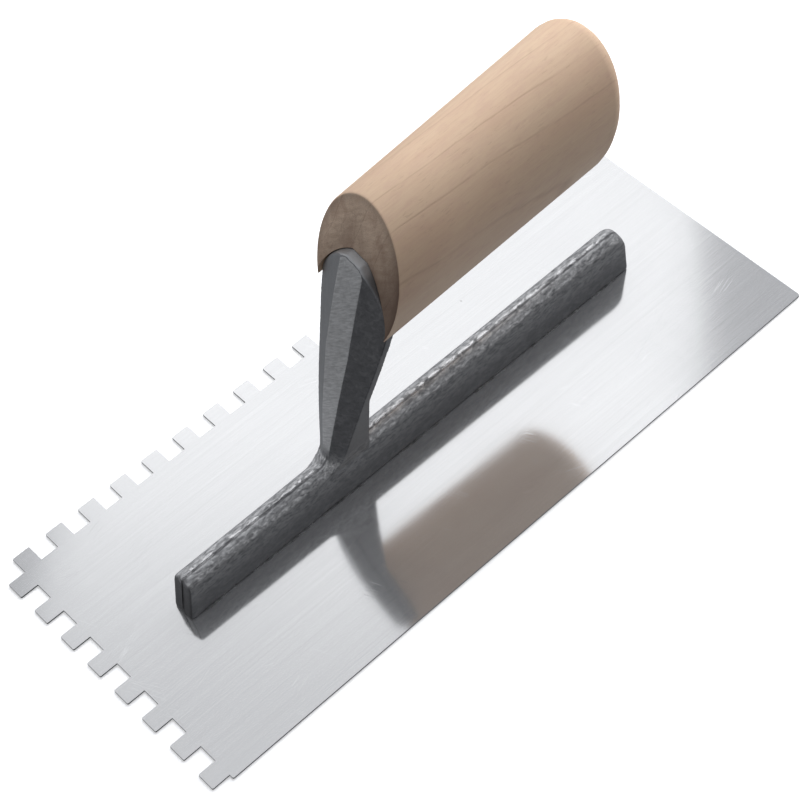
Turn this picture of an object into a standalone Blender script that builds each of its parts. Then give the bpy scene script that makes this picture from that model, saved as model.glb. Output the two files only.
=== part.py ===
"""Notched trowel: steel blade, cast mounting, wooden handle and the fasteners that hold them together.

Units are metres, +Z up. The origin is at the middle of the blade's length and width, on its underside.
+X runs from the notched short end to the plain short end, +Y points to the notched long edge.
"""

import math

import bmesh
import bpy
from mathutils import Matrix, Vector

MM = 0.001
GAP = 0.3

# Blade
BLADE_LENGTH = 316.0
BLADE_WIDTH = 130.0
BLADE_THICKNESS = 0.8
NOTCH = 8.0
PITCH = 2 * NOTCH
LONG_EDGE_NOTCHES = 18
SHORT_EDGE_NOTCHES = 7
TOOTH_RADIUS = 0.45
CORNER_RADIUS = 1.0

# Foot bar of the casting, lying along the blade
BAR_WIDTH = 10.4
BAR_HEIGHT = 21.2
BAR_REAR_RISE = 3.0
BAR_FRONT = -118.6
BAR_REAR = 119.6
BAR_END_RAKE = 0.125
BAR_REAR_CORNER = 5.6

# Neck of the casting: heights are above the blade's top face
NECK_TOP = 121.7
NECK_ARCH_START = 102.0
NECK_HALF_WIDTH_FOOT = 6.6
NECK_HALF_WIDTH_HEAD = 19.0
NECK_FACET_FOOT = 1.7
NECK_FACET_HEAD = 6.3
NECK_PLATE = 3.9
NECK_REAR_SWELL = 1.6

# Handle: the middle of its front face, its axis and its section
HANDLE_FRONT_X = -19.5
HANDLE_FRONT_Z = 115.2
HANDLE_TILT = math.radians(5.0)
HANDLE_LENGTH = 115.9
HANDLE_HALF_WIDTH = 23.1
HANDLE_HALF_HEIGHT = 28.8
HANDLE_SWELL = 0.0541 / 100.0
FACE_RAKE = 0.41
FACE_SKEW = 0.12
REAR_RAKE = 0.294
REAR_DOME = 11.5
RIM_ROUND = 0.7

# Spigot, bolt and washers on the handle's axis, measured from the middle of the front face
SPIGOT_RADIUS = 6.5
SPIGOT_LENGTH = 28.0
BOLT_RADIUS = 3.0
BOLT_END = 8.0
BOLT_HEAD_RADIUS = 5.5
BOLT_HEAD_HEIGHT = 4.2
COUNTERBORE_RADIUS = 8.5
COUNTERBORE_FLOOR = 98.0
WASHER_RADIUS = 7.6
WASHER_THICKNESS = 1.2
SPRING_WASHER_RADIUS = 5.4
SPRING_WASHER_THICKNESS = 1.5

# Rivets through the blade into the foot bar
RIVET_COUNT = 8
RIVET_SPACING = 30.0
RIVET_HEAD_RADIUS = 2.75
RIVET_RADIUS = 1.7
RIVET_TOP = 9.0

SEGMENTS = 24
HANDLE_SEGMENTS = 72


def clear_scene():
    for old in list(bpy.data.objects):
        bpy.data.objects.remove(old, do_unlink=True)


def make_material(name, colour, roughness, metallic):
    material = bpy.data.materials.new(name)
    material.use_nodes = True
    shader = material.node_tree.nodes["Principled BSDF"]
    shader.inputs["Base Color"].default_value = (*colour, 1.0)
    shader.inputs["Roughness"].default_value = roughness
    shader.inputs["Metallic"].default_value = metallic
    return material


def make_object(name, bm, material=None, smooth=None):
    """Writes a mesh that was drawn in millimetres as an object in metres."""
    bmesh.ops.scale(bm, vec=(MM, MM, MM), verts=bm.verts)
    bmesh.ops.recalc_face_normals(bm, faces=bm.faces)
    mesh = bpy.data.meshes.new(name)
    bm.to_mesh(mesh)
    bm.free()
    obj = bpy.data.objects.new(name, mesh)
    bpy.context.scene.collection.objects.link(obj)
    if material:
        mesh.materials.append(material)
    if smooth is not None:
        mesh.shade_smooth()
        mesh.set_sharp_from_angle(angle=math.radians(smooth))
    return obj


def hide_helper(obj):
    obj.hide_render = True
    obj.display_type = "WIRE"
    return obj


def boolean(obj, other, operation):
    modifier = obj.modifiers.new(f"{operation.lower()} {other.name}", "BOOLEAN")
    modifier.operation = operation
    modifier.solver = "EXACT"
    modifier.object = other
    return modifier


def loft(bm, rings):
    """Joins rings of points into one closed skin with capped ends."""
    loops = [[bm.verts.new(point) for point in ring] for ring in rings]
    count = len(loops[0])
    for lower, upper in zip(loops, loops[1:]):
        for i in range(count):
            j = (i + 1) % count
            bm.faces.new((lower[i], lower[j], upper[j], upper[i]))
    bm.faces.new(loops[0])
    bm.faces.new(loops[-1])


def turned(profile, segments=SEGMENTS, axis="Z"):
    """A solid turned about its axis from (radius, height) points; the first and last lie on the axis."""
    bm = bmesh.new()
    points = [bm.verts.new((radius, 0.0, height)) for radius, height in profile]
    edges = [bm.edges.new(pair) for pair in zip(points, points[1:])]
    bmesh.ops.spin(
        bm, geom=points + edges, axis=(0, 0, 1), cent=(0, 0, 0), angle=2 * math.pi, steps=segments
    )
    bmesh.ops.remove_doubles(bm, verts=bm.verts, dist=1e-4)
    if axis == "X":
        bmesh.ops.rotate(bm, verts=bm.verts, cent=(0, 0, 0), matrix=Matrix.Rotation(math.pi / 2, 3, "Y"))
    return bm


def cylinder_profile(radius, low, high, edge=0.0):
    if edge == 0.0:
        return [(0, low), (radius, low), (radius, high), (0, high)]
    return [
        (0, low),
        (radius - edge, low),
        (radius, low + edge),
        (radius, high - edge),
        (radius - edge, high),
        (0, high),
    ]


# ---------------------------------------------------------------- blade


def rounded_corner(before, corner, after, radius, steps=3):
    """The points of an arc that replaces a square corner."""
    corner = Vector(corner)
    to_before = (Vector(before) - corner).normalized() * radius
    to_after = (Vector(after) - corner).normalized() * radius
    centre = corner + to_before + to_after
    return [
        centre - to_after * math.cos(t) - to_before * math.sin(t)
        for t in (math.pi / 2 * step / steps for step in range(steps + 1))
    ]


def blade_outline():
    """Corner points from the notched corner round, each with the radius that it gets."""
    left, right = -BLADE_LENGTH / 2, BLADE_LENGTH / 2
    near, far = -BLADE_WIDTH / 2, BLADE_WIDTH / 2
    points = []
    # Notched long edge, from the notched corner to the plain end
    points += [((left + NOTCH, far - NOTCH), 0.0), ((left + NOTCH, far), TOOTH_RADIUS)]
    for i in range(LONG_EDGE_NOTCHES):
        start = left + PITCH * (i + 1)
        stop = start + NOTCH
        points += [
            ((start, far), TOOTH_RADIUS),
            ((start, far - NOTCH), 0.0),
            ((stop, far - NOTCH), 0.0),
            ((stop, far), TOOTH_RADIUS),
        ]
    points += [((right, far), CORNER_RADIUS), ((right, near), CORNER_RADIUS)]
    # Plain long edge back to the step left by the last cut of the short edge
    step = far - PITCH * (SHORT_EDGE_NOTCHES + 1)
    points += [((left + NOTCH, near), 0.6), ((left + NOTCH, step), 0.0), ((left, step), TOOTH_RADIUS)]
    for i in range(SHORT_EDGE_NOTCHES):
        stop = step + NOTCH + PITCH * i
        start = stop + NOTCH
        points += [
            ((left, stop), TOOTH_RADIUS),
            ((left + NOTCH, stop), 0.0),
            ((left + NOTCH, start), 0.0),
            ((left, start), TOOTH_RADIUS),
        ]
    points += [((left, far - NOTCH), TOOTH_RADIUS)]
    return points


def make_blade(material):
    corners = blade_outline()
    outline = []
    for i, (corner, radius) in enumerate(corners):
        before, after = corners[i - 1][0], corners[(i + 1) % len(corners)][0]
        if radius:
            outline += rounded_corner(before, corner, after, radius)
        else:
            outline.append(Vector(corner))
    bm = bmesh.new()
    face = bm.faces.new([bm.verts.new((point.x, point.y, 0.0)) for point in outline])
    raised = bmesh.ops.extrude_face_region(bm, geom=[face])["geom"]
    bmesh.ops.translate(
        bm,
        vec=(0, 0, BLADE_THICKNESS),
        verts=[item for item in raised if isinstance(item, bmesh.types.BMVert)],
    )
    return make_object("blade", bm, material)


# ---------------------------------------------------------------- mounting casting


def bar_section(inset, rise=0.0, steps=12):
    """(y, z) points of the foot bar: flat sides under a half-round top."""
    half = BAR_WIDTH / 2 - inset
    spring = BAR_HEIGHT + rise - BAR_WIDTH / 2
    side = [spring * share for share in (0.0, 0.55, 0.7, 0.82, 0.92)]
    points = [(half, z) for z in side]
    for step in range(steps + 1):
        angle = math.pi * step / steps
        points.append((half * math.cos(angle), spring + half * math.sin(angle)))
    return points + [(-half, z) for z in reversed(side)]


def make_bar():
    floor = BLADE_THICKNESS + GAP
    rings = []
    for inset, along in ((1.0, 0.0), (0.3, 0.35), (0.0, 1.1)):
        section = bar_section(inset)
        rings.append([(BAR_FRONT + along + BAR_END_RAKE * z, y, floor + z) for y, z in section])
    # The rear end rises a little and its top corner is rounded
    steps = 7
    for i in range(steps + 1):
        angle = math.pi / 2 * i / steps
        along = BAR_REAR_CORNER * (1.0 - math.sin(angle))
        drop = BAR_REAR_CORNER * (1.0 - math.cos(angle))
        section = bar_section(0.9 * max(0.0, 1.0 - along), BAR_REAR_RISE - drop)
        rings.append([(BAR_REAR - along - BAR_END_RAKE * z, y, floor + z) for y, z in section])
    bm = bmesh.new()
    loft(bm, rings)
    return make_object("mounting_casting", bm)


def neck_section(height):
    """Front, facet half width, side's front edge, half width, side's rear edge and back at a height."""
    low = min(height, NECK_ARCH_START)
    rise = max(0.0, (low - 26.0) / 68.0)
    straight = -46.7 + 0.105 * height + 0.00087 * height**2
    front = straight - 0.16 * max(0.0, 26.5 - max(height, 19.0)) ** 2
    facet = NECK_FACET_FOOT + (NECK_FACET_HEAD - NECK_FACET_FOOT) * min(1.0, rise * 1.25)
    side = NECK_HALF_WIDTH_FOOT + (NECK_HALF_WIDTH_HEAD - NECK_HALF_WIDTH_FOOT) * min(1.06, rise)
    side -= 0.24 * max(0.0, 26.0 - height)
    setback = 3.0 + 2.4 * min(1.0, rise * 1.3)
    plate = NECK_PLATE + 0.28 * max(0.0, 60.0 - max(height, 18.0))
    side_front = front + setback
    side_rear = straight + setback + plate
    if height > NECK_ARCH_START:
        # The head closes in an arch: its outline cuts across the bevels
        t = (height - NECK_ARCH_START) / (NECK_TOP + 1.2 - NECK_ARCH_START)
        arched = side * (1.0 - t**1.3) ** 0.62
        side_front = front + setback * max(0.0, (arched - facet) / (side - facet))
        facet = min(facet, arched - 0.4)
        side = arched
    return front, facet, side_front, side, side_rear, side_rear + NECK_REAR_SWELL


def mirrored_ring(half_ring, height):
    """A ring from (x, half width) points, which leans with the skew of the handle's front face."""
    lean = FACE_SKEW * min(1.0, max(0.0, height - 26.0) / 68.0)
    z = BLADE_THICKNESS + height
    right = [(x - lean * y, -y, z) for x, y in half_ring]
    left = [(x + lean * y, y, z) for x, y in reversed(half_ring)]
    return right + left


def arch_heights(top, steps=14):
    rise = top - NECK_ARCH_START
    return [NECK_ARCH_START + rise * math.sin(math.pi / 2 * i / steps) for i in range(steps + 1)]


def make_neck():
    """A flat front facet, two bevels, thin sides and a flat back, lofted up from the foot bar."""
    heights = [5.0, 11.0, 16.0, 19.0, 21.0, 23.0, 25.0, 28.0, 33.0, 40.0, 50.0, 60.0, 70.0, 80.0, 91.0]
    rings = []
    for height in heights + arch_heights(NECK_TOP):
        front, facet, side_front, side, side_rear, back = neck_section(height)
        half_ring = [(front, facet), (side_front, side), (side_rear, side), (back, side * 0.72)]
        rings.append(mirrored_ring(half_ring, height))
    bm = bmesh.new()
    loft(bm, rings)
    return hide_helper(make_object("neck_shape", bm))


def make_neck_housing():
    """The cutter for the seat in the wood: the neck's outline, open to the front and clear behind."""
    rings = []
    for height in [55.0, 70.0, 80.0, 91.0] + arch_heights(NECK_TOP):
        _, _, _, side, side_rear, back = neck_section(height)
        side += GAP
        half_ring = [(-75.0, side), (side_rear + GAP, side), (back + GAP, side * 0.72 + GAP)]
        raised = GAP if height > NECK_ARCH_START else 0.0
        rings.append(mirrored_ring(half_ring, height + raised))
    bm = bmesh.new()
    loft(bm, rings)
    return hide_helper(make_object("neck_housing", bm))


def make_casting(material, axis_frame):
    casting = make_bar()
    casting.data.materials.append(material)
    neck = make_neck()
    spigot = make_object(
        "spigot_shape", turned(cylinder_profile(SPIGOT_RADIUS, 3.0, SPIGOT_LENGTH, 0.8), axis="X")
    )
    thread = make_object(
        "thread_hole_shape",
        turned(cylinder_profile(BOLT_RADIUS + GAP, BOLT_END - 1.5, SPIGOT_LENGTH + 5.0), axis="X"),
    )
    for helper in (spigot, thread):
        hide_helper(helper)
        helper.parent = axis_frame
    boolean(casting, neck, "UNION")
    boolean(casting, spigot, "UNION")
    boolean(casting, thread, "DIFFERENCE")
    return casting


# ---------------------------------------------------------------- handle


def handle_ring(along, scale, rake, skew):
    """One oval section of the handle at a distance along its axis, leaning by rake and skew."""
    size = scale * (1.0 + HANDLE_SWELL * along)
    ring = []
    for i in range(HANDLE_SEGMENTS):
        angle = 2 * math.pi * i / HANDLE_SEGMENTS
        y = HANDLE_HALF_WIDTH * size * math.cos(angle)
        z = HANDLE_HALF_HEIGHT * size * math.sin(angle)
        ring.append((along + rake * z + skew * y, y, z))
    return ring


def make_handle(material, axis_frame, housing):
    """The turned oval handle with a raked front face and a domed rear end. It is drawn along +X."""
    rings = []
    for inset, along in ((RIM_ROUND, 0.0), (0.3 * RIM_ROUND, 0.3 * RIM_ROUND), (0.0, RIM_ROUND)):
        rings.append(handle_ring(along, 1.0 - inset / HANDLE_HALF_WIDTH, FACE_RAKE, FACE_SKEW))
    dome_start = HANDLE_LENGTH - REAR_DOME
    for t in (0.25, 0.5, 0.75, 1.0):
        along = RIM_ROUND + (dome_start - RIM_ROUND) * t
        rake = FACE_RAKE + (REAR_RAKE - FACE_RAKE) * t
        rings.append(handle_ring(along, 1.0, rake, FACE_SKEW * (1.0 - t)))
    steps = 9
    for i in range(1, steps):
        angle = math.pi / 2 * i / steps
        along = dome_start + REAR_DOME * math.sin(angle)
        rings.append(handle_ring(along, math.cos(angle) ** 0.92, REAR_RAKE, 0.0))
    bm = bmesh.new()
    loft(bm, rings)
    handle = make_object("handle", bm, material, smooth=32)
    boolean(handle, housing, "DIFFERENCE")
    bores = {
        "spigot_bore": cylinder_profile(SPIGOT_RADIUS + GAP, -5.0, SPIGOT_LENGTH + 1.5),
        "bolt_bore": cylinder_profile(BOLT_RADIUS + 0.5, 10.0, HANDLE_LENGTH),
        "counterbore": cylinder_profile(COUNTERBORE_RADIUS, COUNTERBORE_FLOOR, HANDLE_LENGTH + 20.0),
    }
    for name, profile in bores.items():
        cutter = hide_helper(make_object(name, turned(profile, 32, "X")))
        cutter.parent = axis_frame
        boolean(handle, cutter, "DIFFERENCE")
    handle.parent = axis_frame
    return handle


# ---------------------------------------------------------------- fasteners


def make_bolt(material, axis_frame):
    washer_top = COUNTERBORE_FLOOR + GAP + WASHER_THICKNESS
    under_head = washer_top + GAP + SPRING_WASHER_THICKNESS + GAP
    top = under_head + BOLT_HEAD_HEIGHT
    profile = [
        (0, BOLT_END),
        (BOLT_RADIUS - 0.6, BOLT_END),
        (BOLT_RADIUS, BOLT_END + 0.6),
        (BOLT_RADIUS, under_head),
        (BOLT_HEAD_RADIUS, under_head),
        (BOLT_HEAD_RADIUS, top - 0.9),
        (BOLT_HEAD_RADIUS - 0.3, top - 0.3),
        (BOLT_HEAD_RADIUS - 0.9, top),
        (0, top),
    ]
    bolt = make_object("handle_bolt", turned(profile, axis="X"), material, smooth=35)
    socket = make_object(
        "socket_shape", turned(cylinder_profile(2.5, top - 2.6, top + 2.0), 6, "X")
    )
    hide_helper(socket).parent = axis_frame
    boolean(bolt, socket, "DIFFERENCE")
    bolt.parent = axis_frame
    return bolt


def ring_section(inner, outer, low, high):
    return [(inner, low), (outer, low), (outer, high), (inner, high)]


def make_washer(material, axis_frame):
    low = COUNTERBORE_FLOOR + GAP
    bm = bmesh.new()
    section = ring_section(BOLT_RADIUS + 0.4, WASHER_RADIUS, low, low + WASHER_THICKNESS)
    points = [bm.verts.new((radius, 0.0, height)) for radius, height in section]
    edges = [bm.edges.new((points[i], points[(i + 1) % 4])) for i in range(4)]
    bmesh.ops.spin(
        bm, geom=points + edges, axis=(0, 0, 1), cent=(0, 0, 0), angle=2 * math.pi, steps=32
    )
    bmesh.ops.remove_doubles(bm, verts=bm.verts, dist=1e-4)
    bmesh.ops.rotate(bm, verts=bm.verts, cent=(0, 0, 0), matrix=Matrix.Rotation(math.pi / 2, 3, "Y"))
    washer = make_object("handle_washer", bm, material, smooth=35)
    washer.parent = axis_frame
    return washer


def make_spring_washer(material, axis_frame):
    """A ring that is split and bent open a little, as a spring washer is."""
    low = COUNTERBORE_FLOOR + GAP + WASHER_THICKNESS + GAP
    twist = 0.25
    thickness = SPRING_WASHER_THICKNESS - twist
    section = ring_section(BOLT_RADIUS + 0.4, SPRING_WASHER_RADIUS, low, low + thickness)
    steps = 28
    turn = math.radians(346)
    rings = []
    for i in range(steps + 1):
        angle = turn * i / steps
        lift = twist * i / steps
        rings.append([(h + lift, r * math.cos(angle), r * math.sin(angle)) for r, h in section])
    bm = bmesh.new()
    loft(bm, rings)
    washer = make_object("handle_spring_washer", bm, material, smooth=35)
    washer.parent = axis_frame
    return washer


def make_rivets(material, blade, casting):
    """Countersunk rivets, flush under the blade, with their shanks in blind holes of the foot bar."""
    cone = BLADE_THICKNESS - 0.1
    profile = [
        (0, 0.02),
        (RIVET_HEAD_RADIUS, 0.02),
        (RIVET_RADIUS, cone - 0.05),
        (RIVET_RADIUS, RIVET_TOP - 0.4),
        (RIVET_RADIUS - 0.4, RIVET_TOP),
        (0, RIVET_TOP),
    ]
    hole = [
        (0, -1.0),
        (RIVET_HEAD_RADIUS + 0.35 + 1.0, -1.0),
        (RIVET_HEAD_RADIUS + 0.35, 0.0),
        (RIVET_RADIUS + GAP, cone),
        (RIVET_RADIUS + GAP, RIVET_TOP + GAP),
        (0, RIVET_TOP + GAP),
    ]
    shared = None
    for i in range(RIVET_COUNT):
        x = (i - (RIVET_COUNT - 1) / 2) * RIVET_SPACING
        if shared is None:
            rivet = make_object("blade_rivet_1", turned(profile, 20), material, smooth=35)
            shared = rivet.data
        else:
            rivet = bpy.data.objects.new(f"blade_rivet_{i + 1}", shared)
            bpy.context.scene.collection.objects.link(rivet)
        rivet.location = (x * MM, 0, 0)
        cutter = make_object(f"rivet_hole_{i + 1}", turned(hole, 20))
        hide_helper(cutter).location = (x * MM, 0, 0)
        boolean(blade, cutter, "DIFFERENCE")
        boolean(casting, cutter, "DIFFERENCE")


def main():
    clear_scene()
    steel = make_material("blade_steel", (0.62, 0.63, 0.65), 0.28, 1.0)
    aluminium = make_material("cast_aluminium", (0.19, 0.195, 0.205), 0.52, 0.75)
    beech = make_material("beech_wood", (0.66, 0.47, 0.33), 0.55, 0.0)
    zinc = make_material("zinc_plated_steel", (0.55, 0.56, 0.58), 0.35, 1.0)

    axis_frame = bpy.data.objects.new("handle_axis", None)
    axis_frame.location = (HANDLE_FRONT_X * MM, 0, HANDLE_FRONT_Z * MM)
    axis_frame.rotation_euler = (0, -HANDLE_TILT, 0)
    bpy.context.scene.collection.objects.link(axis_frame)

    blade = make_blade(steel)
    casting = make_casting(aluminium, axis_frame)
    make_handle(beech, axis_frame, make_neck_housing())
    make_bolt(zinc, axis_frame)
    make_washer(zinc, axis_frame)
    make_spring_washer(zinc, axis_frame)
    make_rivets(zinc, blade, casting)


main()
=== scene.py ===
"""Notched trowel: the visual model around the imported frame.

Places and sizes are in metres, in the frame of the CAD model: +X along the blade, +Y towards the
notched long edge, +Z up. Constants say so where they are in millimetres instead. Shader distances
are in millimetres too.
"""

import math

import bmesh
import bpy
from mathutils import Matrix, Vector, noise


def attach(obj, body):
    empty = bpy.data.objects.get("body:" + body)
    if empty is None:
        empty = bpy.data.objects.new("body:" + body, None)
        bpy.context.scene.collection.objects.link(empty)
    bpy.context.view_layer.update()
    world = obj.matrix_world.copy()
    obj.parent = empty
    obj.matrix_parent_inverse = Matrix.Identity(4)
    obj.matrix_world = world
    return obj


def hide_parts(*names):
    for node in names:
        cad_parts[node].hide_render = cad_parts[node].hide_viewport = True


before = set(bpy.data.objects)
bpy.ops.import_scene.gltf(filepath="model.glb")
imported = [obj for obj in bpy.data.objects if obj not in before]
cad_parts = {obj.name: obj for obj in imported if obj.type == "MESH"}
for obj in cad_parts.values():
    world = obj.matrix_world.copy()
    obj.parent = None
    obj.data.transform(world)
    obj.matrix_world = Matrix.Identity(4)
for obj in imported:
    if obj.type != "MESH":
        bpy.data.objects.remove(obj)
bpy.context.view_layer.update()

MM = 0.001

# Camera: where it stands, its axes (right, up, back) and its lens on a 36 mm sensor
CAMERA_PLACE = (-0.31985, -0.38191, 0.70632)
CAMERA_RIGHT = (0.72515, -0.68680, -0.04964)
CAMERA_UP = (0.57814, 0.56809, 0.58569)
CAMERA_BACK = (-0.37405, -0.45341, 0.80902)
CAMERA_LENS = 98.16
CAMERA_SENSOR = 36.0

# Handle: the middle of its front face, its tilt, and in millimetres how far its rim reaches
HANDLE_FRONT = (-0.0195, 0.0, 0.1152)
HANDLE_TILT = math.radians(5.0)
HANDLE_HALF_WIDTH = 23.4
HANDLE_HALF_HEIGHT = 29.4

# Foot bar and neck of the casting, in millimetres
BAR_TOP = 22.3
BAR_RISE = 0.0125
BAR_FRONT = -118.6
BAR_FRONT_TOP = -115.6
BAR_REAR_TOP = 111.0
NECK_FRONT = -41.0
NECK_BACK = -24.0

# Which way the faces of the casting look
UPWARDS = (0.0, 0.0, 1.0)
BAR_RIDGE = (0.0, 0.25, 0.968)
BAR_END = (-1.0, 0.0, 0.1)
NECK_FILED_FRONT = (-0.972, 0.115, 0.205)
NECK_NEAR_FACET = (-0.40, -0.91, 0.10)
NECK_FAR_FACET = (-0.80, 0.56, 0.21)
NECK_WEB_SIDE = (0.10, -0.995, 0.0)
HEAD_NEAR_SLOPE = (0.0, -0.76, 0.65)

# Uneven cast skin: its grid, and its waves as (waves per millimetre, height), all in millimetres
SKIN_VOXEL = 0.5
SKIN_SMOOTHING = 4
WIDE_WAVE = (0.05, 0.10)
NEAR_WAVE = (0.20, 0.02)
NEAR_WAVE_OFFSET = Vector((7.0, 3.0, 1.0))

# How much flatter the filed front is, how squarely a face has to look forwards to count as part of
# it, and from which height up; then the seat in the handle
FLAT_SHARE = 0.75
FORWARDS_FROM = 0.9
FORWARDS_SPAN = 0.06
FACET_FROM_HEIGHT = 0.028
SEAT_FROM_HEIGHT = 0.09
SEAT_FRONT = -0.0225
SEAT_SLANT = 0.32

# Flash: its cross-section (across, lift) in shares of its width and height, that width and height
# and how much they swing, how far it wanders sideways, and how deep it is sunk, in millimetres
FLASH_SECTION = (
    (-1.5, -0.6),
    (-0.85, 0.25),
    (-0.35, 0.85),
    (0.35, 0.85),
    (0.85, 0.25),
    (1.5, -0.6),
)
FLASH_HEIGHT = 0.26
FLASH_HEIGHT_SWING = 0.16
FLASH_WIDTH = 0.34
FLASH_WIDTH_SWING = 0.08
FLASH_WANDER = 0.12
FLASH_SUNK = 0.25

# Both ends of a run of flash taper off, over so many steps and down to this share of the height
FLASH_END_STEPS = 3.0
FLASH_END_SHARE = 0.3

# Parting seam, in millimetres: off the middle, up the slanted front end, round the top corner and
# along the ridge, clear of the neck's fillets
SEAM_ACROSS = 0.35
SEAM_LIFT = 0.02
SEAM_FOOT = 3.0
SEAM_END_RISE = 15.5
SEAM_END_STEPS = 9
END_FOOT = (-118.7, 1.1)
END_SLOPE = 0.125
CORNER_FOOT = 20.3
CORNER_SETBACK = 0.9
CORNER_REACH = 1.6
CORNER_STEPS = 5
RIDGE_STEPS = 70
RIDGE_END_GAP = 2.0
NECK_FRONT_GAP = 7.0
NECK_BACK_GAP = 3.0

# Runs (from, to) of flash beside the bar's foot, in millimetres
FOOT_RUNS = ((-112, -96), (-88, -57), (-52, -31), (-12, 14), (30, 47), (62, 90), (97, 112))
FOOT_SIDE = 5.28
FOOT_HEIGHT = 0.78
FOOT_STEP = 1.2

# Where the soft light from all round is brightest
BRIGHT_SIDE = (0.42, 0.66, 0.62)

# Floor: flat out to one distance, then curving up to a wall
FLOOR_FLAT = 4.0
FLOOR_CURVE = 3.0
FLOOR_WALL = 6.0
FLOOR_SIDES = 96
FLOOR_GAP = 0.4 * MM


# ---------------------------------------------------------------- shader helpers


class Shader:
    """A material with its Principled BSDF and short ways to add nodes."""

    def __init__(self, name, **constants):
        self.material = bpy.data.materials.new(name)
        self.material.use_nodes = True
        self.tree = self.material.node_tree
        self.surface = self.tree.nodes["Principled BSDF"]
        for socket, value in constants.items():
            self.surface.inputs[socket.replace("_", " ")].default_value = value

    def add(self, kind, inputs=None, **settings):
        node = self.tree.nodes.new("ShaderNode" + kind)
        for key, value in settings.items():
            setattr(node, key, value)
        for key, value in (inputs or {}).items():
            if isinstance(value, bpy.types.NodeSocket):
                self.tree.links.new(value, node.inputs[key])
            else:
                node.inputs[key].default_value = value
        return node

    def link(self, socket, name):
        self.tree.links.new(socket, self.surface.inputs[name])

    def place(self, location=(0, 0, 0), rotation=(0, 0, 0)):
        """Object coordinates, moved and turned, in millimetres."""
        source = self.add("TexCoord").outputs["Object"]
        moved = self.add("VectorMath", {0: source, 1: location}, operation="SUBTRACT").outputs[0]
        return self.stretch(self.turn(moved, rotation), (1000, 1000, 1000))

    def turn(self, vector, rotation):
        inputs = {"Vector": vector, "Rotation": rotation}
        return self.add("VectorRotate", inputs, rotation_type="EULER_XYZ").outputs[0]

    def stretch(self, vector, scale):
        return self.add("VectorMath", {0: vector, 1: scale}, operation="MULTIPLY").outputs[0]

    def dot(self, vector, direction):
        node = self.add("VectorMath", {0: vector, 1: direction}, operation="DOT_PRODUCT")
        return node.outputs["Value"]

    def axes(self, vector):
        return tuple(self.add("SeparateXYZ", {0: vector}).outputs)

    def normal(self):
        return self.add("NewGeometry").outputs["Normal"]

    def facing(self, direction):
        """How far the surface faces a direction, from -1 to 1."""
        return self.dot(self.normal(), direction)

    def noise(self, vector, scale, detail=3.0, roughness=0.55, distortion=0.0):
        inputs = {
            "Vector": vector,
            "Scale": scale,
            "Detail": detail,
            "Roughness": roughness,
            "Distortion": distortion,
        }
        return self.add("TexNoise", inputs).outputs["Fac"]

    def math(self, operation, a, b=0.0):
        return self.add("Math", {0: a, 1: b}, operation=operation).outputs[0]

    def product(self, first, *factors):
        for factor in factors:
            first = self.math("MULTIPLY", first, factor)
        return first

    def rest_of(self, mask):
        return self.math("SUBTRACT", 1.0, mask)

    def spread(self, value, low, high, to_low=0.0, to_high=1.0, kind="SMOOTHSTEP"):
        """Turns the range from low to high into another one, which is 0 to 1 if not given."""
        inputs = {
            "Value": value,
            "From Min": low,
            "From Max": high,
            "To Min": to_low,
            "To Max": to_high,
        }
        return self.add("MapRange", inputs, interpolation_type=kind).outputs["Result"]

    def ramp(self, value, *stops):
        node = self.add("ValToRGB", {"Fac": value})
        ramp = node.color_ramp
        while len(ramp.elements) < len(stops):
            ramp.elements.new(0.5)
        for element, (position, colour) in zip(ramp.elements, stops):
            element.position = position
            element.color = (*colour, 1.0)
        return node.outputs["Color"]

    def mix(self, factor, a, b):
        node = self.add("Mix", data_type="RGBA", blend_type="MIX")
        for socket, value in ((node.inputs[0], factor), (node.inputs[6], a), (node.inputs[7], b)):
            if isinstance(value, bpy.types.NodeSocket):
                self.tree.links.new(value, socket)
            else:
                socket.default_value = (*value, 1.0)
        return node.outputs[2]

    def tint(self, colour, mask, strength, shade):
        """Mixes a shade into a colour where the mask lets it through."""
        return self.mix(self.math("MULTIPLY", mask, strength), colour, shade)

    def bumps(self, *layers):
        """Stacks (height, depth in millimetres) layers on the surface's normal."""
        normal = None
        for height, depth in layers:
            inputs = {"Height": height, "Strength": 1.0, "Distance": depth * MM}
            if normal:
                inputs["Normal"] = normal
            normal = self.add("Bump", inputs).outputs["Normal"]
        self.link(normal, "Normal")


# ---------------------------------------------------------------- materials


def hair_scratches(s):
    """Three families of long thin scratches, each broken into short stretches."""
    scratches = None
    for angle, offset, width in ((0.42, 13.0, 0.016), (-0.30, 57.0, 0.012), (1.15, 91.0, 0.013)):
        turned = s.place((offset * MM, 0, 0), (0, 0, angle))
        wavy = s.noise(s.stretch(turned, (0.012, 0.36, 0.36)), 1.0, 1.0, 0.4)
        line = s.math("ABSOLUTE", s.math("SUBTRACT", wavy, 0.5))
        line = s.spread(line, 0.0, width, 1.0, 0.0)
        there = s.spread(s.noise(turned, 0.055, 2.0, 0.5), 0.60, 0.68)
        line = s.product(line, there)
        scratches = line if scratches is None else s.math("MAXIMUM", scratches, line)
    return scratches


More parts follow.
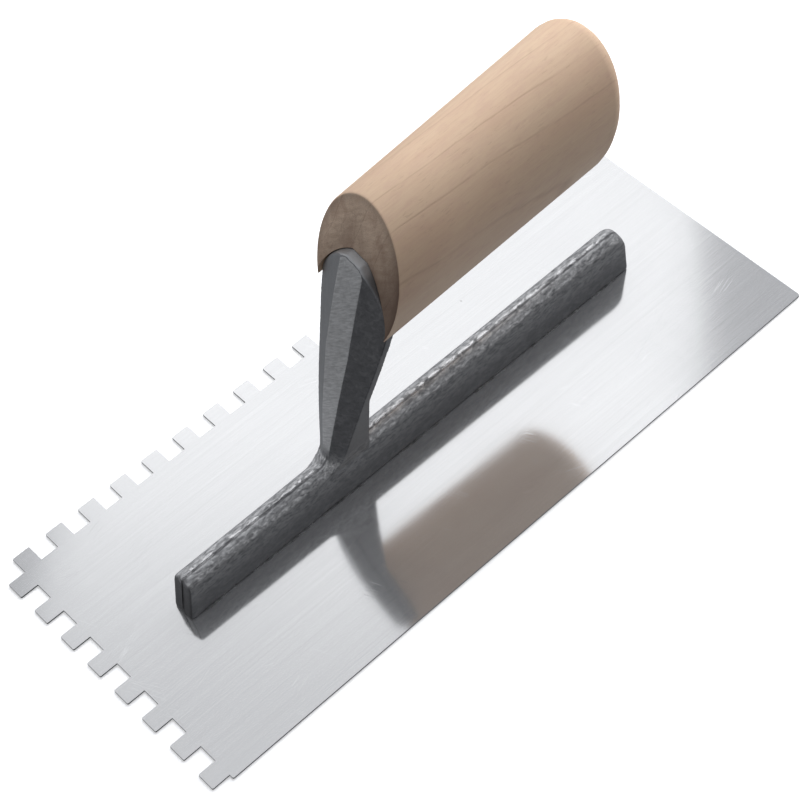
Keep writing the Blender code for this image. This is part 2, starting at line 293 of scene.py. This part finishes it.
def make_blade_steel():
    """Half-polished steel: fine brushing along the blade, cloudy patches and a few scratches."""
    s = Shader("blade steel", Metallic=0.84, Specular_IOR_Level=0.5)
    place = s.place()
    fine = s.noise(s.stretch(place, (0.012, 1.9, 1.9)), 1.6, 4.0, 0.7)
    coarse = s.noise(s.stretch(place, (0.006, 0.45, 0.45)), 1.0, 3.0, 0.6)
    cloud = s.noise(place, 0.016, 4.0, 0.6, 0.6)
    specks = s.spread(s.noise(place, 0.20, 2.0, 0.5), 0.775, 0.80)
    scratches = hair_scratches(s)

    tone = s.math("ADD", s.product(fine, 0.75), s.product(coarse, 0.25))
    colour = s.ramp(tone, (0.30, (0.684, 0.687, 0.693)), (0.70, (0.755, 0.758, 0.764)))
    colour = s.mix(s.spread(cloud, 0.35, 0.75, 0.0, 0.16), colour, (0.635, 0.638, 0.648))
    colour = s.tint(colour, scratches, 0.35, (0.86, 0.86, 0.87))
    colour = s.tint(colour, specks, 0.6, (0.32, 0.31, 0.30))
    # The blade's edge faces are painted dark and made rougher, partly a rough sheared edge and
    # partly painted shade
    sheared_edge_shade = s.spread(s.math("ABSOLUTE", s.facing(UPWARDS)), 0.85, 0.45)
    colour = s.mix(sheared_edge_shade, colour, (0.20, 0.205, 0.215))
    s.link(colour, "Base Color")

    rough = s.spread(fine, 0.3, 0.7, 0.075, 0.11, "LINEAR")
    rough = s.math("ADD", rough, s.spread(cloud, 0.3, 0.7, -0.005, 0.02))
    rough = s.math("ADD", rough, s.product(sheared_edge_shade, 0.30))
    s.link(rough, "Roughness")
    s.bumps((fine, 0.0006), (scratches, 0.004))
    return s.material


def make_cast_aluminium():
    """Dull cast aluminium: mottled skin, a ridge on the bar painted bright as part wear and part
    painted highlight, painted light and shade by facing on the bar and neck, and a filed front on
    the neck.
    """
    s = Shader("cast aluminium", Metallic=0.92, Specular_IOR_Level=0.4)
    place = s.place()
    _, across, height = s.axes(place)
    mottle = s.noise(place, 0.11, 5.0, 0.62, 0.4)
    blotch = s.noise(s.stretch(place, (0.55, 1.0, 1.0)), 0.42, 4.0, 0.6, 0.9)
    grain = s.noise(place, 1.9, 4.0, 0.65)
    pits = s.spread(s.noise(place, 0.95, 2.0, 0.5), 0.70, 0.78)
    flow = s.stretch(place, (0.42, 1.0, 1.0))
    mottling = s.noise(flow, 0.85, 5.0, 0.68, 0.5)

    above = s.facing(UPWARDS)
    on_bar = s.spread(height, 34.0, 26.0)
    on_ridge = s.spread(height, 30.0, 26.0)
    on_neck = s.spread(height, 26.0, 36.0)

    # Plain sides are dark and even; what faces upwards is painted paler and mottled, painted light
    # from above with small painted glints
    upper = s.product(s.spread(above, 0.10, 0.62), on_bar)
    skin = s.ramp(
        blotch,
        (0.30, (0.150, 0.152, 0.160)),
        (0.52, (0.200, 0.202, 0.210)),
        (0.74, (0.270, 0.272, 0.280)),
    )
    skin = s.mix(s.spread(mottle, 0.38, 0.68, 0.0, 0.40), skin, (0.165, 0.168, 0.178))
    mottled_top_light = s.ramp(
        mottling,
        (0.34, (0.19, 0.192, 0.200)),
        (0.52, (0.44, 0.442, 0.452)),
        (0.66, (0.78, 0.782, 0.79)),
    )
    skin = s.mix(upper, skin, mottled_top_light)
    # The upper part of the bar's sides is painted paler in mottled streaks, a painted gradient of
    # light from above
    shoulder_light = s.product(
        s.spread(height, 6.0, 19.0),
        on_bar,
        s.spread(mottling, 0.38, 0.62, 0.10, 0.95),
        s.rest_of(upper),
    )
    skin = s.mix(shoulder_light, skin, (0.38, 0.382, 0.392))

    # The ridge of the bar is painted bright in broken patches, partly rubbed wear and partly
    # painted highlight, mostly on its near half
    patches = s.noise(flow, 0.50, 4.0, 0.65, 0.6)
    rubbed_highlight = s.product(
        s.spread(s.facing(BAR_RIDGE), 0.72, 0.97),
        on_ridge,
        s.spread(patches, 0.46, 0.57),
        s.spread(across, 0.3, 1.6, 1.0, 0.35),
    )
    skin = s.tint(skin, rubbed_highlight, 0.90, (0.90, 0.902, 0.91))

    # A line of painted shade runs along the near side of the parting seam; the end of the bar gets
    # darker painted shade still
    seam_shade = s.spread(s.math("ABSOLUTE", s.math("ADD", across, 0.75)), 0.62, 0.25)
    skin = s.tint(skin, s.product(seam_shade, on_ridge), 0.65, (0.07, 0.07, 0.075))
    tip_shade = s.product(s.spread(s.facing(BAR_END), 0.55, 0.85), s.spread(height, 21.0, 18.5))
    skin = s.tint(skin, tip_shade, 0.75, (0.06, 0.06, 0.063))

    # On the neck the near slanted facet is painted dark as painted shade, and the far facet and the
    # flat web are painted paler as painted light
    for direction, start, full, strength, shade in (
        (NECK_NEAR_FACET, 0.94, 0.985, 0.70, (0.105, 0.107, 0.112)),
        (NECK_FAR_FACET, 0.88, 0.96, 0.55, (0.36, 0.372, 0.388)),
        (NECK_WEB_SIDE, 0.955, 0.985, 0.60, (0.30, 0.303, 0.312)),
    ):
        facet = s.product(s.spread(s.facing(direction), start, full), on_neck)
        skin = s.tint(skin, facet, strength, shade)

    # The neck's flat front is filed at a slant
    filed = s.product(
        s.spread(s.facing(NECK_FILED_FRONT), 0.955, 0.98),
        s.spread(height, 27.0, 33.0),
    )
    slanted = s.place(rotation=(math.radians(41), 0, 0))
    marks = s.noise(s.stretch(slanted, (0.5, 0.22, 1.5)), 1.0, 3.0, 0.6)
    tone = s.ramp(marks, (0.32, (0.44, 0.445, 0.45)), (0.66, (0.66, 0.664, 0.67)))
    tone = s.mix(s.spread(blotch, 0.55, 0.75, 0.0, 0.5), tone, (0.38, 0.385, 0.392))
    colour = s.mix(filed, skin, tone)

    # Its head gets a painted highlight along the rounded top and painted shade down the near slope
    head_highlight = s.product(
        s.spread(above, 0.56, 0.72),
        s.spread(height, 105.5, 110.5),
        s.spread(across, -9.6, -6.0),
    )
    colour = s.tint(colour, head_highlight, 0.75, (0.50, 0.508, 0.52))
    cheek_shade = s.product(
        s.spread(s.facing(HEAD_NEAR_SLOPE), 0.925, 0.965),
        s.spread(height, 96.0, 102.0),
        s.spread(across, -6.0, -9.6),
    )
    colour = s.tint(colour, cheek_shade, 0.75, (0.25, 0.252, 0.26))
    s.link(colour, "Base Color")

    rough = s.spread(grain, 0.3, 0.7, 0.40, 0.56, "LINEAR")
    rough = s.math("SUBTRACT", rough, s.product(rubbed_highlight, 0.24))
    rough = s.math("SUBTRACT", rough, s.product(filed, 0.05))
    s.link(rough, "Roughness")
    as_cast = s.rest_of(s.product(filed, 0.8))
    waviness = s.product(as_cast, s.spread(upper, 0.0, 1.0, 0.30, 1.0))
    s.bumps(
        (s.product(blotch, waviness), 0.05),
        (s.product(grain, as_cast), 0.035),
        (s.product(pits, -1.0), 0.06),
        (s.product(marks, filed), 0.10),
        (s.product(mottling, upper), 0.14),
    )
    return s.material


def make_beech():
    """Plain sanded beech: growth lines along the handle, short dark ray flecks, brown end grain."""
    s = Shader("beech wood", Metallic=0.0, Specular_IOR_Level=0.32)
    place = s.place(HANDLE_FRONT, (0, HANDLE_TILT, 0))

    # Growth rings are gently wavy sheets that cross the handle at a slant
    sheets = s.dot(place, (0.085, 1.0, 0.235))
    wander = s.noise(s.stretch(place, (0.30, 1.0, 1.0)), 0.060, 3.0, 0.50)
    sheets = s.math("ADD", sheets, s.spread(wander, 0.2, 0.8, -1.3, 1.3, "LINEAR"))
    ring = s.math("DIVIDE", s.math("SUBTRACT", sheets, 7.2), 12.8)
    wave = s.math("COSINE", s.product(ring, 2 * math.pi))
    line = s.math("POWER", s.math("MAXIMUM", wave, 0.0), 100.0)
    gaps = s.noise(s.stretch(place, (0.12, 1.0, 1.0)), 0.28, 3.0, 0.6)
    line = s.product(line, s.spread(gaps, 0.34, 0.60, 0.25, 1.0))
    late = s.math("POWER", s.math("FRACT", s.math("ADD", ring, 40.0)), 3.0)
    finer = s.math("COSINE", s.product(ring, 10 * math.pi))

    fibre = s.noise(s.stretch(place, (0.035, 1.0, 1.0)), 1.5, 4.0, 0.7)
    patchy = s.noise(s.stretch(place, (0.22, 1.0, 1.0)), 0.075, 3.0, 0.55, 0.5)
    blush = s.noise(s.stretch(place, (0.30, 1.0, 1.0)), 0.42, 4.0, 0.65, 0.6)
    flecks = s.noise(s.stretch(place, (0.17, 1.0, 1.0)), 1.25, 2.0, 0.55)
    sparse = s.spread(s.noise(place, 0.12, 2.0, 0.5), 0.35, 0.62, 0.35, 1.0)
    flecks = s.product(s.spread(flecks, 0.60, 0.70), sparse)

    colour = s.ramp(
        patchy,
        (0.30, (0.765, 0.580, 0.412)),
        (0.52, (0.742, 0.545, 0.383)),
        (0.74, (0.708, 0.495, 0.350)),
    )
    colour = s.mix(s.spread(fibre, 0.30, 0.72, 0.0, 0.34), colour, (0.640, 0.432, 0.298))
    colour = s.mix(s.spread(blush, 0.42, 0.70, 0.0, 0.34), colour, (0.645, 0.420, 0.325))
    colour = s.tint(colour, late, 0.16, (0.600, 0.380, 0.270))
    colour = s.mix(s.spread(finer, 0.2, 1.0, 0.0, 0.07), colour, (0.58, 0.37, 0.26))
    colour = s.tint(colour, flecks, 0.22, (0.430, 0.262, 0.175))
    colour = s.tint(colour, line, 0.27, (0.370, 0.215, 0.145))

    # End grain looks browner; low down it is painted darker as painted shade, and it is darker
    # around the rim
    facing_along = s.axes(s.turn(s.normal(), (0, HANDLE_TILT, 0)))[0]
    end = s.spread(s.math("ABSOLUTE", facing_along), 0.52, 0.74)
    front_end = s.product(end, s.spread(s.axes(place)[0], 60.0, 40.0))
    sawn = s.place(HANDLE_FRONT, (math.radians(40), 0, 0))
    streak = s.noise(s.stretch(sawn, (0.1, 0.20, 1.0)), 0.62, 5.0, 0.66, 0.5)
    stain = s.noise(s.stretch(place, (0.1, 1.0, 0.55)), 0.17, 3.0, 0.6, 0.7)
    dots = s.noise(s.stretch(place, (0.1, 1.0, 1.0)), 2.6, 2.0, 0.6)
    brown = s.ramp(streak, (0.36, (0.560, 0.412, 0.305)), (0.62, (0.700, 0.540, 0.412)))
    brown = s.mix(s.spread(stain, 0.42, 0.68, 0.0, 0.42), brown, (0.36, 0.225, 0.165))
    brown = s.mix(s.spread(dots, 0.45, 0.70, 0.0, 0.34), brown, (0.26, 0.172, 0.125))
    brown = s.tint(brown, line, 0.18, (0.22, 0.135, 0.095))
    # Painted shade: the end face darkens towards its lower near side
    lower = s.dot(place, (0.0, -0.8, -0.6))
    brown = s.mix(s.spread(lower, -12.0, 20.0, 0.0, 0.80), brown, (0.115, 0.070, 0.050))
    inset = s.stretch(place, (0.0, 1.0 / HANDLE_HALF_WIDTH, 1.0 / HANDLE_HALF_HEIGHT))
    reach = s.add("VectorMath", {0: inset}, operation="LENGTH").outputs["Value"]
    reach = s.math("ADD", reach, s.spread(streak, 0.3, 0.7, -0.05, 0.05, "LINEAR"))
    brown = s.mix(s.spread(reach, 0.84, 1.02, 0.0, 0.40), brown, (0.13, 0.080, 0.058))
    s.link(s.mix(front_end, colour, brown), "Base Color")

    rough = s.spread(fibre, 0.3, 0.7, 0.46, 0.60, "LINEAR")
    s.link(s.math("ADD", rough, s.product(end, 0.15)), "Roughness")
    s.bumps((fibre, 0.030), (s.product(flecks, -1.0), 0.022), (s.product(line, -1.0), 0.05))
    return s.material


def make_zinc():
    """Bright zinc plating with fine grain and dull spots."""
    s = Shader("zinc plated steel", Metallic=1.0, Specular_IOR_Level=0.5)
    place = s.place()
    spots = s.noise(place, 0.8, 4.0, 0.65, 0.3)
    fine = s.noise(place, 4.5, 3.0, 0.6)
    colour = s.ramp(
        spots,
        (0.32, (0.42, 0.43, 0.45)),
        (0.55, (0.60, 0.61, 0.63)),
        (0.75, (0.70, 0.70, 0.69)),
    )
    s.link(colour, "Base Color")
    s.link(s.spread(spots, 0.3, 0.7, 0.24, 0.42, "LINEAR"), "Roughness")
    s.bumps((fine, 0.012), (spots, 0.02))
    return s.material


def make_floor_paint():
    """Plain matt white that glows a little, so the floor stays pale far from the lights."""
    s = Shader(
        "white backdrop",
        Metallic=0.0,
        Roughness=0.9,
        Specular_IOR_Level=0.1,
        Base_Color=(0.93, 0.93, 0.93, 1.0),
        Emission_Color=(1.0, 1.0, 1.0, 1.0),
        Emission_Strength=0.34,
    )
    return s.material


# ---------------------------------------------------------------- pieces


def add_object(name, data):
    obj = bpy.data.objects.new(name, data)
    bpy.context.scene.collection.objects.link(obj)
    return obj


def add_mesh(name, bm, material):
    """A new object that takes over the faces of a bmesh."""
    mesh = bpy.data.meshes.new(name)
    bm.to_mesh(mesh)
    bm.free()
    mesh.materials.append(material)
    return add_object(name, mesh)


def copy_of(node, name, material):
    """A new object with the welded mesh of a CAD node."""
    bm = bmesh.new()
    bm.from_mesh(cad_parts[node].data)
    bmesh.ops.remove_doubles(bm, verts=bm.verts, dist=0.004 * MM)
    bmesh.ops.recalc_face_normals(bm, faces=bm.faces)
    return add_mesh(name, bm, material)


def smooth_by_angle(mesh, degrees):
    mesh.shade_smooth()
    mesh.set_sharp_from_angle(angle=math.radians(degrees))


def soften_edges(piece, width, angle):
    """Rounds the edges that are sharper than an angle in degrees, by a width in millimetres."""
    bevel = piece.modifiers.new("softened edges", "BEVEL")
    bevel.width = width * MM
    bevel.segments = 2
    bevel.limit_method = "ANGLE"
    bevel.angle_limit = math.radians(angle)
    bevel.harden_normals = False
    bevel.use_clamp_overlap = True


def settle(piece, slot, *nodes):
    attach(piece, "root")
    if nodes:
        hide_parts(*nodes)


def apply_modifiers(piece):
    graph = bpy.context.evaluated_depsgraph_get()
    mesh = bpy.data.meshes.new_from_object(piece.evaluated_get(graph), depsgraph=graph)
    old = piece.data
    piece.modifiers.clear()
    piece.data = mesh
    bpy.data.meshes.remove(old)


def make_blade_piece(steel):
    piece = copy_of("blade", "blade_sheet", steel)
    bm = bmesh.new()
    bm.from_mesh(piece.data)
    nearly_flat = math.radians(1)
    flat = [e for e in bm.edges if e.is_manifold and e.calc_face_angle(9.0) < nearly_flat]
    bmesh.ops.dissolve_limit(bm, angle_limit=nearly_flat, verts=bm.verts, edges=flat)
    bm.to_mesh(piece.data)
    bm.free()
    soften_edges(piece, 0.14, 38)
    smooth_by_angle(piece.data, 30)
    settle(piece, "blade_steel", "blade")


def cast_unevenness(point, flatness):
    """How far the cast skin stands out at a point, in metres."""
    p = point / MM
    wide = noise.noise(p * WIDE_WAVE[0]) * WIDE_WAVE[1]
    near = noise.noise(p * NEAR_WAVE[0] + NEAR_WAVE_OFFSET) * NEAR_WAVE[1]
    return (wide + near) * (1.0 - FLAT_SHARE * flatness) * MM


def in_handle_seat(point):
    seat = SEAT_FRONT + SEAT_SLANT * (point.z - HANDLE_FRONT[2])
    return point.z > SEAT_FROM_HEIGHT and point.x > seat


def make_casting_piece(aluminium):
    piece = copy_of("mounting_casting", "mounting_casting_skin", aluminium)
    remesh = piece.modifiers.new("cast skin", "REMESH")
    remesh.mode = "VOXEL"
    remesh.voxel_size = SKIN_VOXEL * MM
    soften = piece.modifiers.new("cast edges", "SMOOTH")
    soften.factor = 0.5
    soften.iterations = SKIN_SMOOTHING
    apply_modifiers(piece)

    # The skin is uneven, less so on the filed front, and not at all where it meets the wood
    mesh = piece.data
    shifts = []
    for vertex in mesh.vertices:
        place, normal = vertex.co, vertex.normal
        flatness = 0.0
        if place.z > FACET_FROM_HEIGHT:
            flatness = max(0.0, min(1.0, (-normal.x - FORWARDS_FROM) / FORWARDS_SPAN))
        if in_handle_seat(place):
            shifts.append(Vector())
        else:
            shifts.append(normal * cast_unevenness(place, flatness))
    for vertex, shift in zip(mesh.vertices, shifts):
        vertex.co += shift
    mesh.shade_smooth()
    settle(piece, "cast_aluminium", "mounting_casting")


def ridge_run(start, stop):
    """Points along the bar's ridge, which rises slightly to the rear."""
    run = []
    for i in range(RIDGE_STEPS + 1):
        x = start + (stop - start) * i / RIDGE_STEPS
        run.append((x, SEAM_ACROSS, BAR_TOP + SEAM_LIFT + BAR_RISE * (x - BAR_FRONT)))
    return run


def flash_paths():
    """Runs of points, in millimetres, that the flash follows."""
    front = []
    for i in range(SEAM_END_STEPS + 1):
        z = SEAM_FOOT + SEAM_END_RISE * i / SEAM_END_STEPS
        front.append((END_FOOT[0] + END_SLOPE * (z - END_FOOT[1]), SEAM_ACROSS, z))
    corner_rise = BAR_TOP + SEAM_LIFT - CORNER_FOOT
    for i in range(1, CORNER_STEPS + 1):
        angle = math.pi / 2 * i / CORNER_STEPS
        x = BAR_FRONT_TOP + CORNER_SETBACK - CORNER_REACH * math.cos(angle)
        front.append((x, SEAM_ACROSS, CORNER_FOOT + corner_rise * math.sin(angle)))
    front += ridge_run(BAR_FRONT_TOP + RIDGE_END_GAP, NECK_FRONT - NECK_FRONT_GAP)
    rear = ridge_run(NECK_BACK + NECK_BACK_GAP, BAR_REAR_TOP - RIDGE_END_GAP)

    # Broken runs where the bar meets the blade
    foot = []
    for side in (-1, 1):
        for start, stop in FOOT_RUNS:
            count = int((stop - start) / FOOT_STEP)
            steps = [start + (stop - start) * i / count for i in range(count + 1)]
            foot.append([(x, side * FOOT_SIDE, FOOT_HEIGHT) for x in steps])
    return [front, rear] + foot


def flash_ring(bm, path, i):
    """One cross-section of the flash: uneven in height and width, and low at the run's ends."""
    here = Vector(path[i])
    ahead = Vector(path[min(i + 1, len(path) - 1)]) - Vector(path[max(i - 1, 0)])
    side = Vector((0, 1, 0))
    up = ahead.normalized().cross(side) * -1.0
    wobble = noise.noise(here * 0.35)
    swell = noise.noise(here * 0.5 + Vector((9, 9, 9)))
    end = min(1.0, i / FLASH_END_STEPS, (len(path) - 1 - i) / FLASH_END_STEPS)
    taper = FLASH_END_SHARE + (1.0 - FLASH_END_SHARE) * end
    high = (FLASH_HEIGHT + FLASH_HEIGHT_SWING * wobble) * taper
    wide = FLASH_WIDTH + FLASH_WIDTH_SWING * swell
    centre = here + side * FLASH_WANDER * wobble - up * FLASH_SUNK
    ring = []
    for across, lift in FLASH_SECTION:
        place = centre + side * wide * across + up * (FLASH_SUNK + high * lift)
        ring.append(bm.verts.new(place * MM))
    return ring


def make_flash(aluminium):
    """Thin raised flash, left where the mould halves met and where metal crept out at the foot."""
    bm = bmesh.new()
    for path in flash_paths():
        rings = [flash_ring(bm, path, i) for i in range(len(path))]
        for lower, upper in zip(rings, rings[1:]):
            for j in range(len(lower)):
                k = (j + 1) % len(lower)
                bm.faces.new((lower[j], lower[k], upper[k], upper[j]))
        bm.faces.new(rings[0])
        bm.faces.new(rings[-1])
    bmesh.ops.recalc_face_normals(bm, faces=bm.faces)
    piece = add_mesh("casting_flash", bm, aluminium)
    smooth_by_angle(piece.data, 50)
    settle(piece, "cast_aluminium")


def make_handle_piece(beech):
    piece = copy_of("handle", "handle_wood", beech)
    soften_edges(piece, 0.28, 45)
    smooth_by_angle(piece.data, 36)
    settle(piece, "beech_wood", "handle")


def make_fasteners(zinc):
    for node in sorted(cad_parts):
        if node.startswith(("blade_rivet", "handle_bolt")) or node.endswith("washer"):
            piece = copy_of(node, node + "_plated", zinc)
            soften_edges(piece, 0.12, 40)
            smooth_by_angle(piece.data, 32)
            settle(piece, "zinc_plated_steel", node)


# ---------------------------------------------------------------- studio


def make_camera():
    camera = add_object("camera", bpy.data.cameras.new("camera"))
    camera.data.lens = CAMERA_LENS
    camera.data.sensor_width = CAMERA_SENSOR
    camera.data.clip_end = 20.0
    columns = (CAMERA_RIGHT, CAMERA_UP, CAMERA_BACK, CAMERA_PLACE)
    rows = [(*column, 1.0 if i == 3 else 0.0) for i, column in enumerate(columns)]
    camera.matrix_world = Matrix(rows).transposed()
    bpy.context.scene.camera = camera


def make_floor():
    """A flat pale floor that curves up far away. Only the camera sees it."""
    profile = [(FLOOR_FLAT, 0.0)]
    for degrees in range(10, 91, 10):
        angle = math.radians(degrees)
        reach = FLOOR_FLAT + FLOOR_CURVE * math.sin(angle)
        profile.append((reach, FLOOR_CURVE - FLOOR_CURVE * math.cos(angle)))
    profile.append((FLOOR_FLAT + FLOOR_CURVE, FLOOR_WALL))

    bm = bmesh.new()
    turns = [2 * math.pi * i / FLOOR_SIDES for i in range(FLOOR_SIDES)]
    rings = []
    for reach, rise in profile:
        ring = [(reach * math.cos(t), reach * math.sin(t), rise - FLOOR_GAP) for t in turns]
        rings.append([bm.verts.new(place) for place in ring])
    bm.faces.new(rings[0])
    for low, high in zip(rings, rings[1:]):
        for i in range(FLOOR_SIDES):
            j = (i + 1) % FLOOR_SIDES
            bm.faces.new((low[i], low[j], high[j], high[i])).smooth = True
    floor = add_mesh("floor", bm, make_floor_paint())
    floor.visible_diffuse = False
    floor.visible_glossy = False
    floor.visible_shadow = False


def make_world():
    """Soft light from all round, brighter from above and behind on the notched side."""
    world = bpy.data.worlds.new("studio")
    bpy.context.scene.world = world
    world.use_nodes = True
    tree = world.node_tree
    direction = tree.nodes.new("ShaderNodeTexCoord").outputs["Generated"]
    towards = tree.nodes.new("ShaderNodeVectorMath")
    towards.operation = "DOT_PRODUCT"
    towards.inputs[1].default_value = BRIGHT_SIDE
    level = tree.nodes.new("ShaderNodeMapRange")
    settings = (("From Min", -0.7), ("From Max", 0.8), ("To Min", 0.13), ("To Max", 0.53))
    for name, value in settings:
        level.inputs[name].default_value = value
    background = tree.nodes["Background"]
    background.inputs["Color"].default_value = (0.965, 0.98, 1.015, 1.0)
    tree.links.new(direction, towards.inputs[0])
    tree.links.new(towards.outputs["Value"], level.inputs["Value"])
    tree.links.new(level.outputs["Result"], background.inputs["Strength"])


def add_softbox(name, place, target, size, radiance, colour=(1.0, 1.0, 1.0)):
    light = bpy.data.lights.new(name, "AREA")
    light.shape = "RECTANGLE"
    light.size, light.size_y = size
    light.energy = radiance * math.pi * size[0] * size[1]
    light.color = colour
    box = add_object(name, light)
    box.location = place
    direction = Vector(target) - Vector(place)
    box.rotation_euler = direction.to_track_quat("-Z", "Y").to_euler()
    box.visible_camera = False
    return box


def fade_along(light, start, stop, low):
    """Makes a softbox weaker towards one end of its length."""
    light.use_nodes = True
    tree = light.node_tree
    place = tree.nodes.new("ShaderNodeNewGeometry").outputs["Parametric"]
    split = tree.nodes.new("ShaderNodeSeparateXYZ")
    level = tree.nodes.new("ShaderNodeMapRange")
    level.interpolation_type = "SMOOTHSTEP"
    settings = (("From Min", start), ("From Max", stop), ("To Min", low), ("To Max", 1.0))
    for name, value in settings:
        level.inputs[name].default_value = value
    tree.links.new(place, split.inputs[0])
    tree.links.new(split.outputs[0], level.inputs["Value"])
    tree.links.new(level.outputs["Result"], tree.nodes["Emission"].inputs["Strength"])


def make_lights():
    # Place, target, size, radiance and colour of three that are not mirrored in the metal
    key = ((0.86, 0.76, 1.70), (0, 0, 0.05), (2.2, 1.8), 2.15, (0.97, 1.0, 1.04))
    rear = ((1.70, 0.15, 0.75), (0, 0, 0.10), (0.8, 0.8), 7.5)
    bounce = ((0.20, -0.92, -1.20), (0, 0, 0.10), (1.6, 0.9), 1.35, (0.80, 0.93, 1.12))
    for name, settings in (("key", key), ("rear", rear), ("bounce", bounce)):
        add_softbox(name, *settings).visible_glossy = False

    # A low strip behind the notched edge, and the softbox that the blade mirrors
    add_softbox("rim", (0.25, 1.60, 0.50), (0, 0, 0.02), (2.0, 0.30), 0.80)
    overhead = add_softbox(
        "overhead", (0.533, 0.679, 1.2), (0.533, 0.679, 0.0), (1.0, 0.686), 0.755
    )
    overhead.rotation_euler = (0.0, 0.0, math.radians(43.4))
    fade_along(overhead.data, 0.10, 0.50, 0.34)

    # Pale cards around the object, which only its metal mirrors
    for i, azimuth in enumerate((225, 315, 135, 15)):
        angle = math.radians(azimuth)
        place = (2.2 * math.cos(angle), 2.2 * math.sin(angle), 0.72)
        card = add_softbox(f"card_{i + 1}", place, (0, 0, 0.05), (2.8, 0.8), 0.44)
        card.visible_diffuse = False


make_camera()
make_floor()
make_world()
make_lights()
bpy.context.scene.view_settings.view_transform = "Standard"

make_blade_piece(make_blade_steel())
cast_aluminium = make_cast_aluminium()
make_casting_piece(cast_aluminium)
make_flash(cast_aluminium)
make_handle_piece(make_beech())
make_fasteners(make_zinc())
